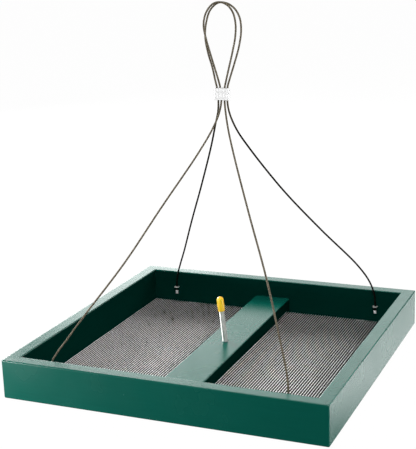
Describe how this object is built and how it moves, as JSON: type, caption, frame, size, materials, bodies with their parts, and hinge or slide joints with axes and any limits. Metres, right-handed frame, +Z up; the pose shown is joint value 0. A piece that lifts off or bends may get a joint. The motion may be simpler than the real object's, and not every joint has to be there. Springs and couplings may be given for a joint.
{
  "type": "hanging tray bird feeder",
  "caption": "Square hanging tray bird feeder with a woven wire floor, a cross-bar with a capped fruit spike, and wire ropes that meet in a ferrule and loops.",
  "frame": {"origin": "on the ground plane, at the centre of the tray's underside", "axes": "+Z up, +X right along the front wall, +Y from the front wall to the back wall"},
  "size_m": [0.381, 0.381, 0.4257],
  "materials": {
    "green_boards": "dark green, semi-gloss, solid-colour boards",
    "wire_mesh": "plain woven wire, eight meshes to the inch",
    "dowel_wood": "plain beech, hidden",
    "zinc_wire": "bright zinc plated wire",
    "aluminium_crimps": "pale satin, pressed",
    "wire_rope": "stranded galvanised wire rope",
    "zinc_spike": "zinc plated thread",
    "yellow_vinyl": "soft yellow vinyl"
  },
  "bodies": {
    "tray": {"front_wall": "green_boards", "right_wall": "green_boards", "back_wall": "green_boards", "left_wall": "green_boards", "crossbar": "green_boards", "mesh_floor": "wire_mesh", "prong_nut": "zinc_spike", "corner_dowel_front_1": "dowel_wood", "corner_dowel_front_2": "dowel_wood", "corner_dowel_right_1": "dowel_wood", "corner_dowel_right_2": "dowel_wood", "corner_dowel_back_1": "dowel_wood", "corner_dowel_back_2": "dowel_wood", "corner_dowel_left_1": "dowel_wood", "corner_dowel_left_2": "dowel_wood", "bar_dowel_front_1": "dowel_wood", "bar_dowel_front_2": "dowel_wood", "bar_dowel_back_1": "dowel_wood", "bar_dowel_back_2": "dowel_wood", "mesh_staple_front_1": "zinc_wire", "mesh_staple_front_2": "zinc_wire", "mesh_staple_front_3": "zinc_wire", "mesh_staple_right_1": "zinc_wire", "mesh_staple_right_2": "zinc_wire", "mesh_staple_right_3": "zinc_wire", "mesh_staple_back_1": "zinc_wire", "mesh_staple_back_2": "zinc_wire", "mesh_staple_back_3": "zinc_wire", "mesh_staple_left_1": "zinc_wire", "mesh_staple_left_2": "zinc_wire", "mesh_staple_left_3": "zinc_wire", "rope_clamp_front_left": "zinc_wire", "rope_clamp_front_right": "zinc_wire", "rope_clamp_back_left": "zinc_wire", "rope_clamp_back_right": "zinc_wire", "rope_stop_front_left": "aluminium_crimps", "rope_stop_front_right": "aluminium_crimps", "rope_stop_back_left": "aluminium_crimps", "rope_stop_back_right": "aluminium_crimps", "front_rope": "wire_rope", "back_rope": "wire_rope", "ferrule": "aluminium_crimps"},
    "spike": {"threaded_spike": "zinc_spike"},
    "cap": {"spike_cap": "yellow_vinyl"}
  },
  "joints": [
    {"name": "spike_unscrew", "type": "slide", "parent": "tray", "child": "spike", "axis": [-0.0976, 0, 0.9952], "range_m": [0, 0.0127]},
    {"name": "cap_pull", "type": "slide", "parent": "spike", "child": "cap", "axis": [-0.0976, 0, 0.9952], "range_m": [0, 0.022]}
  ]
}
